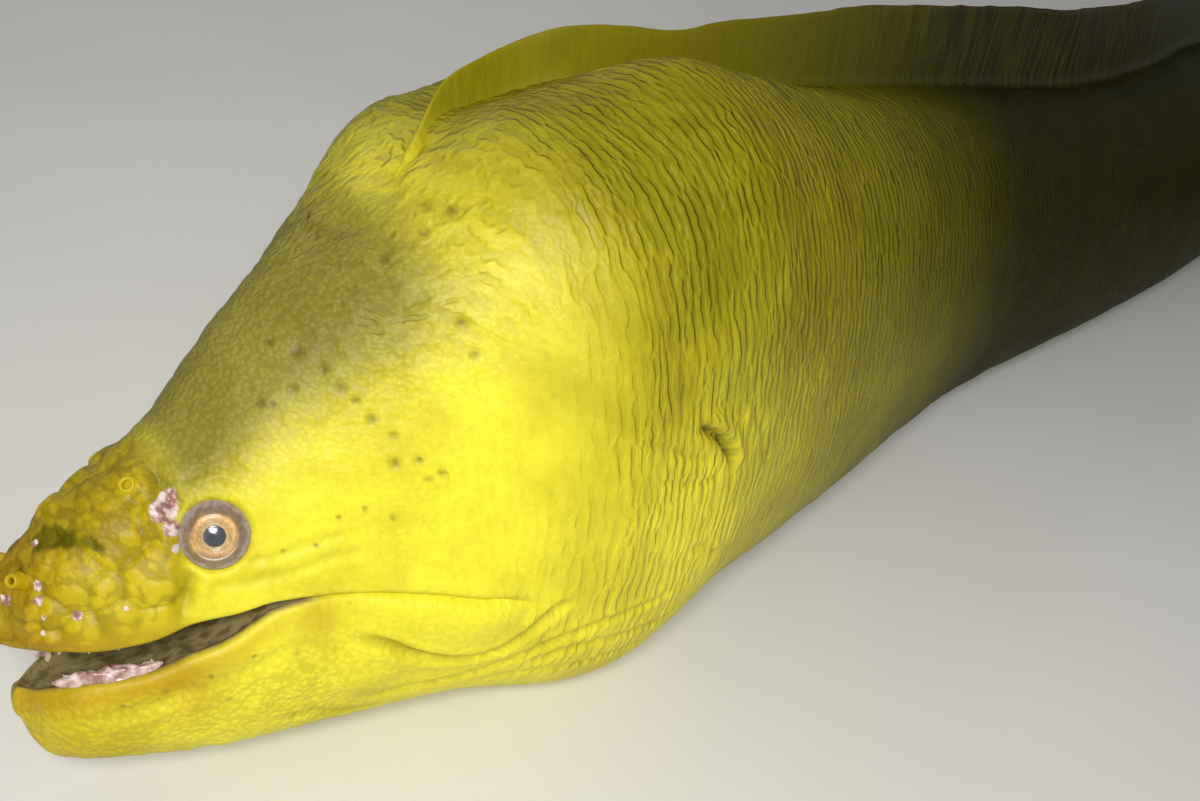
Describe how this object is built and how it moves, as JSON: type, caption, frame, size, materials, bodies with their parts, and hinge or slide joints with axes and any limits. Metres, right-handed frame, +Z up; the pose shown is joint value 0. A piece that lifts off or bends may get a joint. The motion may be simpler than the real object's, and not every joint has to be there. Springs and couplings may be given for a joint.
{
  "type": "green moray eel",
  "caption": "Green moray eel lying on the floor in a slow S, head raised at the chin, mouth slightly open, a long fin from nape to tail.",
  "frame": {"origin": "on the floor, under the middle of the whole animal", "axes": "+Z up; the animal's length runs mostly along X, its snout towards -X; +Y away from its left side, which faces the viewer"},
  "size_m": [1.6982, 0.8064, 0.2461],
  "materials": {
    "skin": "slick wet skin, yellow-green",
    "fin": "slick wet skin, olive",
    "eye": "gloss"
  },
  "bodies": {
    "root": {"anal_fin_1": "fin", "anal_fin_2": "fin", "anal_fin_3": "fin", "anal_fin_4": "fin", "belly_end": "skin", "dorsal_fin_1": "fin", "dorsal_fin_2": "fin", "dorsal_fin_3": "fin", "dorsal_fin_4": "fin", "dorsal_fin_5": "fin", "dorsal_fin_6": "fin", "dorsal_fin_7": "fin", "eye_left": "eye", "eye_right": "eye", "head": "skin", "lower_jaw": "skin", "neck": "skin", "tail_base": "skin", "tail_end": "skin", "tail_fin": "fin", "tail_front": "skin", "tail_middle": "skin", "tail_rear": "skin", "trunk_front": "skin", "trunk_middle": "skin", "trunk_rear": "skin"}
  },
  "joints": []
}
